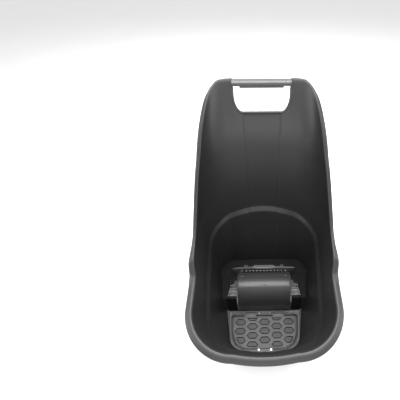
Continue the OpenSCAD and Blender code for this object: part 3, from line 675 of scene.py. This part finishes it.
def guard_block(r, inset, rear, foot, round_off):
    """The barrel's solid, with draft on its ends. Lengths along it are measured from the axle."""
    past = math.asin(min(1.0, rear / r))
    turns = np.linspace(-math.pi / 2, past, 49)
    section = [(-r, foot)] + [(r * math.sin(t), AXLE_Z + r * math.cos(t)) for t in turns]
    section += [(rear, foot)] if inset else [(rear, GUARD_FOOT), (RISER_TOP, GUARD_FOOT), (RISER_TOP, foot)]
    points, count = [], len(section)
    for side in (-1, 1):
        for y, z in section:
            half = mix(GUARD_LOW, GUARD_HIGH, (z - 2) / (AXLE_Z + GUARD_R - 2)) - inset
            points.append((side * half, y + axle_y, z))
    faces = [tuple(range(count)), tuple(range(count, 2 * count))]
    faces += [(i, (i + 1) % count, count + (i + 1) % count, count + i) for i in range(count)]
    block = mesh_piece("guard_block", points, faces)
    work = bmesh.new()
    work.from_mesh(block.data)
    bmesh.ops.recalc_face_normals(work, faces=work.faces)
    low, back = (AXLE_Z - 30) * MM, (rear + axle_y) * MM
    ends = [e for e in work.edges if (e.verts[0].co.x > 0) == (e.verts[1].co.x > 0)
            and min(v.co.z for v in e.verts) > low and max(v.co.y for v in e.verts) < back]
    bmesh.ops.bevel(work, geom=ends, offset=round_off * MM, segments=5, profile=0.5, affect="EDGES",
                    clamp_overlap=True)
    work.to_mesh(block.data)
    work.free()
    return block


def ball(x, y, z, radius, flat=1.0):
    """A small ball for dimples, squashed upwards by flat."""
    mesh = bpy.data.meshes.new("ball")
    work = bmesh.new()
    bmesh.ops.create_uvsphere(work, u_segments=24, v_segments=12, radius=radius * MM)
    bmesh.ops.scale(work, vec=(1, 1, flat), verts=work.verts)
    bmesh.ops.translate(work, vec=(x * MM, y * MM, z * MM), verts=work.verts)
    work.to_mesh(mesh)
    work.free()
    piece = bpy.data.objects.new("ball", mesh)
    bpy.context.collection.objects.link(piece)
    return piece


EAR_IN, EAR_FRONT, EAR_BACK, EAR_Y0, EAR_Y1, EAR_T = 119.0, 148.0, 138.0, -10.4, 28.0, 3.0
FLANGE_OUT, FLANGE_END, AXLE_HOLE = 127.7, 64.5, 11.0


def sided(side, points):
    """The same outline on the left or the right, with its depths measured from the axle."""
    return [(side * x, axle_y + y) for x, y in points]


guard = guard_block(GUARD_R, 0, GUARD_REAR, PLATE_TOP, 6.0)
cut(guard, guard_block(GUARD_R - GUARD_WALL, GUARD_WALL, GUARD_REAR + 20, PLATE_TOP - 8, 4.0))
for side in (-1, 1):
    ear = sided(side, [(EAR_IN, EAR_Y0), (EAR_FRONT, EAR_Y0), (EAR_BACK, EAR_Y1), (EAR_IN, EAR_Y1)])
    join_on(guard, prism(ear, SHELF_TOP + 4, SHELF_TOP + 4 + EAR_T))
    flange = sided(side, [(EAR_IN - 1, RISER_TOP - 2), (FLANGE_OUT, RISER_TOP - 2), (FLANGE_OUT, FLANGE_END),
                          (116.5, FLANGE_END), (116.5, GUARD_REAR - 3), (EAR_IN - 1, GUARD_REAR - 3)])
    join_on(guard, prism(flange, SHELF_TOP, SHELF_TOP + EAR_T))
    foot = sided(side, [(EAR_IN, EAR_Y1 - 14), (EAR_BACK, EAR_Y1 - 14), (EAR_BACK, EAR_Y1), (EAR_IN, EAR_Y1)])
    join_on(guard, prism(foot, SHELF_TOP, SHELF_TOP + 5))
    notch = [(axle_y + AXLE_HOLE * math.cos(a), AXLE_Z + AXLE_HOLE * math.sin(a)) for a in np.linspace(0, math.pi, 17)]
    notch += [(axle_y - AXLE_HOLE, -1), (axle_y + AXLE_HOLE, -1)]
    cut(guard, prism(notch, min(side * 90, side * 160), max(side * 90, side * 160), "X"))
    cut(guard, ball(side * 97, axle_y + 22, AXLE_Z + GUARD_R * 0.985, 9, 0.35))
cut(guard, ball(3, axle_y - 20, AXLE_Z + GUARD_R * 0.983, 4.5, 0.35))
tidy_shading(guard, 35)
guard.name = "guard_shell"
dress(guard, guard_plastic, "barrow", "guard", "roller_guard")

# %% [markdown]
# The hatch lid carries a honeycomb of shallow cells. Each cell is a long hexagon with rounded corners, and the
# cells near the edge are trimmed to the lid's own outline, set in by a rib's width. A low grained island stands in
# each cell, so a narrow channel is left all round it, whose walls and floor are painted dark as painted shade.
# The tub's drain opening has the same outline.

# %% Hatch lid
LID_Y0, LID_Y1, LID_HALF, LID_FRONT_HALF, LID_T, CELL_DEEP = 94.0, 232.0, 152.0, 90.0, 5.5, 3.0
PITCH_X, PITCH_Y, CELL_MID_Y = 56.0, 38.4, LID_Y0 + 74
CELL_TIP, CELL_SHOULDER, CELL_HIGH, ISLAND_DROP = 25.0, 13.0, 13.0, 1.0
LID_GAP, PLATE_GAP, DRAIN_INSET, RIM_WIDTH = 3.0, 3.6, 18.0, 8.0


def rounded(corners, radii, parts=6):
    """A closed outline with every corner rounded by its own radius."""
    points = []
    for i, (corner, radius) in enumerate(zip(corners, radii)):
        b = Vector(corner)
        u = (Vector(corners[i - 1]) - b).normalized()
        w = (Vector(corners[(i + 1) % len(corners)]) - b).normalized()
        half = math.acos(max(-1.0, min(1.0, u.dot(w)))) / 2
        centre = b + (u + w).normalized() * radius / math.sin(half)
        start, end = b + u * radius / math.tan(half) - centre, b + w * radius / math.tan(half) - centre
        sweep = math.pi - 2 * half
        for k in range(parts + 1):
            t = k / parts
            points.append(tuple(centre + (start * math.sin((1 - t) * sweep) + end * math.sin(t * sweep))
                                / math.sin(sweep)))
    return points


def lid_outline(gap):
    """The lid's own outline, moved outwards by a gap."""
    right_side = [(LID_FRONT_HALF + gap * 0.7, LID_Y0 - gap), (LID_HALF - 27 + gap * 0.8, LID_Y0 + 18 - gap * 0.5),
                  (LID_HALF - 6 + gap, LID_Y0 + 66), (LID_HALF + gap, LID_Y1 + gap)]
    corners = right_side + [(-x, y) for x, y in reversed(right_side)]
    return lip_frame(rounded(corners, [20, 44, 60, 12, 12, 60, 44, 20]))


def merged(name, pieces):
    """Several separate solids as one object."""
    points, faces = [], []
    for piece in pieces:
        base = len(points)
        points += [tuple(c / MM for c in v.co) for v in piece.data.vertices]
        faces += [tuple(base + i for i in f.vertices) for f in piece.data.polygons]
        bpy.data.objects.remove(piece)
    return mesh_piece(name, points, faces)


def cell_outline(x, y, grow):
    tip, high, flat = CELL_TIP + grow, CELL_HIGH + grow, CELL_SHOULDER
    corners = [(-tip, 0), (-flat, -high), (flat, -high), (tip, 0), (flat, high), (-flat, high)]
    return [(x + a, y + b) for a, b in rounded(corners, [3, 6, 6, 3, 6, 6], 4)]


def cell_block(grow, low, high, inset):
    """All the honeycomb cells as one solid, kept inside the rim of the lid."""
    cells = []
    for column_number in range(-2, 3):
        rows = (-1, 0, 1) if column_number % 2 == 0 else (-1.5, -0.5, 0.5, 1.5)
        for row in rows:
            centre_y = CELL_MID_Y + row * PITCH_Y - LIP_TO_CENTRE
            cells.append(prism(cell_outline(column_number * PITCH_X, centre_y, grow), low, high))
    block = merged("cells", cells)
    trim = prism(lid_outline(-inset), low - 1, high + 1)
    combine(block, trim, "INTERSECT")
    return block


lid = prism(lid_outline(-LID_GAP), PLATE_TOP - LID_T, PLATE_TOP)
cut(tub, prism(lid_outline(-DRAIN_INSET), -1, FLOOR_T + 1))
tidy_shading(tub)
cut(lid, cell_block(0.8, PLATE_TOP - CELL_DEEP, PLATE_TOP + 1, RIM_WIDTH))
join_on(lid, cell_block(-2.3, PLATE_TOP - CELL_DEEP - 0.5, PLATE_TOP - ISLAND_DROP, RIM_WIDTH + 3.1))
round_edges(lid, 0.6)
lid.name = "hatch_lid_moulded"
dress(lid, carrier_plastic, "hatch", "carrier", "hatch_lid")
# The island tops take the grained pocket plastic; the channel walls and floors take the near-black plastic as painted
# shade.
lid.data.materials.append(pocket_plastic)
lid.data.materials.append(groove_painted_shade)
for face in lid.data.polygons:
    depth = PLATE_TOP - face.center.z / MM
    if face.normal.z > 0.9 and abs(depth - ISLAND_DROP) < 0.2:
        face.material_index = 1
    elif depth > 0.7 and face.normal.z > -0.5:
        face.material_index = 2

# %% [markdown]
# Two barrels at the back of the lid turn on the hinge pins. Each is a round bar with a short arm that reaches the
# lid, and both are one piece that rides with the hatch.

# %% Hinge knuckles
HINGE_Y, HINGE_Z, KNUCKLE_R, KNUCKLE_IN, KNUCKLE_OUT = 245 - LIP_TO_CENTRE, 10.1, 4.5, 39.5, 94.5
knuckles = []
for side in (-1, 1):
    ring = [(HINGE_Y + KNUCKLE_R * math.cos(a), HINGE_Z + KNUCKLE_R * math.sin(a))
            for a in np.linspace(0, 2 * math.pi, 33)[:-1]]
    x0, x1 = sorted((side * KNUCKLE_IN, side * KNUCKLE_OUT))
    barrel = prism(ring, x0, x1, "X")
    arm = prism(box_outline(x0, x1, LID_Y1 - 3 - LIP_TO_CENTRE, HINGE_Y + 1), PLATE_TOP - LID_T, PLATE_TOP)
    join_on(barrel, arm)
    knuckles.append(barrel)
leaf = merged("hinge_leaf", knuckles)
round_edges(leaf, 0.4, 2)
dress(leaf, carrier_plastic, "hatch", "carrier")

# %% [markdown]
# The other parts keep their CAD shapes, with every edge rounded as a mould would leave it. The plate gets a slightly
# wider opening round the lid, and the floor of that groove is painted near-black as painted shade.

# %% Carrier and small parts
plate = soften("carrier_frame", 1.2, carrier_plastic, "barrow", "carrier")
cut(plate, prism(lid_outline(PLATE_GAP), PLATE_TOP - LID_T, PLATE_TOP + 1))
# The floor of the groove round the lid takes the near-black plastic: painted shade.
plate.data.materials.append(groove_painted_shade)
for face in plate.data.polygons:
    if face.center.z / MM < PLATE_TOP - 1.0 and face.normal.z > -0.5 and abs(face.center.x / MM) < LID_HALF + 4:
        face.material_index = 1
soften("latch_slide", 0.5, carrier_plastic, "latch", "carrier")
# The carrier shelf takes the near-black copy of the carrier plastic: painted shade on the riser and shelf.
soften("carrier_shelf", 1.0, shelf_painted_shade, "barrow", "shelf")
soften("rear_shroud", 1.2, shroud_plastic, "barrow", "shroud")
# The axle brackets take the lighter copy of the carrier plastic: painted light.
for side in ("left", "right"):
    soften("axle_bracket_" + side, 0.8, bracket_painted_light, "barrow", "bracket")
    soften("axle_cap_" + side, 1.2, drum_plastic, "barrow", "drum")
    soften("roller_drum_" + side, 0.8, drum_plastic, "roller", "drum")
soften("roller_tread", 0.6, rubber, "roller", "tread")
soften("grip_upper", 0.3, grip_plastic, "barrow", "grip_ridged")
soften("grip_lower", 0.8, grip_plastic, "barrow", "grip")
soften("grip_core", 0.6, grip_plastic, "barrow", "grip")

# %% [markdown]
# What is left are the pins, screws, bushes and the seal, which are right as they are and only take a finish.

# %% Finishes for the plain parts
finishes = {"steel": steel, "screw": black_zinc, "bush": acetal, "spacer": drum_plastic, "seal": seal_rubber}
for part in frame["record"]["subparts"]:
    if part["material_slot"] in finishes:
        slots = frame["nodes"][part["node"]].material_slots
        for material_slot in slots:
            material_slot.material = steel if part["node"] == "latch_screws" else finishes[part["material_slot"]]
print("plain parts finished:", sum(p["material_slot"] in finishes for p in frame["record"]["subparts"]))
